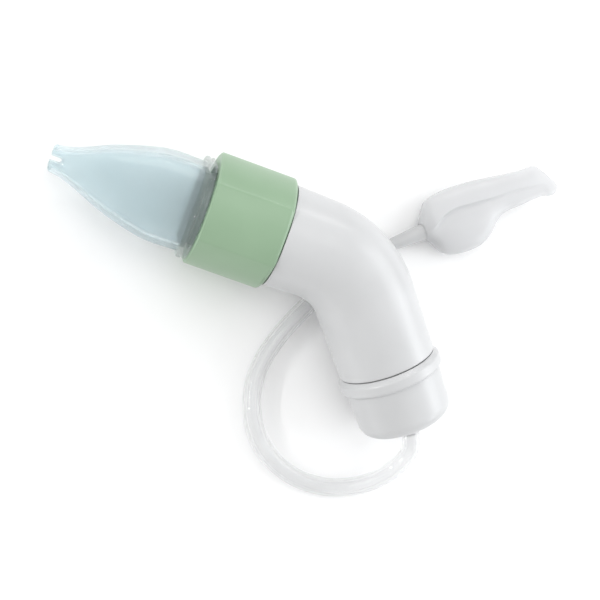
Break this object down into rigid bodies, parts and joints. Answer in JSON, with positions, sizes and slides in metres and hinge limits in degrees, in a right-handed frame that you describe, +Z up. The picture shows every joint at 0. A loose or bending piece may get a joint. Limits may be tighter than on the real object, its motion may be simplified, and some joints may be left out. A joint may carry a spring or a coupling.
{
  "type": "nasal aspirator",
  "caption": "Mouth-suction baby nasal aspirator: clear nostril tip on a bent collecting handle with a screwed ring nut, filter cap, looped hose and mouthpiece.",
  "frame": {"origin": "centre of the handle's footprint on the surface it lies on, without the hose and mouthpiece", "axes": "+Z up from the surface, -X towards the nostril tip, +Y towards the outside of the bend"},
  "size_m": [0.1644, 0.1036, 0.0367],
  "materials": {
    "handle_white": "glossy moulded",
    "seal_rubber": "smooth",
    "tip_clear_blue": "clear, tinted",
    "nut_green": "satin moulded",
    "cap_white": "glossy moulded",
    "ring_rubber": "smooth",
    "grid_white": "matte moulded",
    "filter_foam": "open-cell foam",
    "connector_clear": "glossy moulded",
    "hose_clear": "clear, smooth",
    "stem_white": "glossy moulded",
    "mouthpiece_soft": "translucent, smooth"
  },
  "bodies": {
    "cap": {"end_cap": "cap_white", "filter_grid": "grid_white", "filter_foam": "filter_foam", "hose_connector": "connector_clear", "hose": "hose_clear"},
    "handle": {"elbow": "handle_white", "spigot_ring": "ring_rubber", "neck_seal": "seal_rubber"},
    "tip": {"nostril_tip": "tip_clear_blue"},
    "nut": {"ring_nut": "nut_green"},
    "mouth": {"mouthpiece": "mouthpiece_soft", "mouthpiece_stem": "stem_white"}
  },
  "joints": [
    {"name": "handle_pull", "type": "slide", "parent": "cap", "child": "handle", "axis": [-0.4041, 0.899, 0.169], "range_m": [0, 0.01]},
    {"name": "tip_lift", "type": "slide", "parent": "handle", "child": "tip", "axis": [-0.9376, 0.3225, -0.1302], "range_m": [0, 0.006]},
    {"name": "nut_spin", "type": "hinge", "parent": "tip", "child": "nut", "pos_m": [0.0064, 0.0171, 0.01942], "axis": [-0.9376, 0.3225, -0.1302], "range_deg": [0, 720]},
    {"name": "mouthpiece_pull", "type": "slide", "parent": "cap", "child": "mouth", "axis": [0.9249, 0.3737, 0.0698], "range_m": [0, 0.006]}
  ],
  "couplings": [
    {"joint": "tip_lift", "follows": "nut_spin", "m_per_rad": 0.00047746}
  ]
}
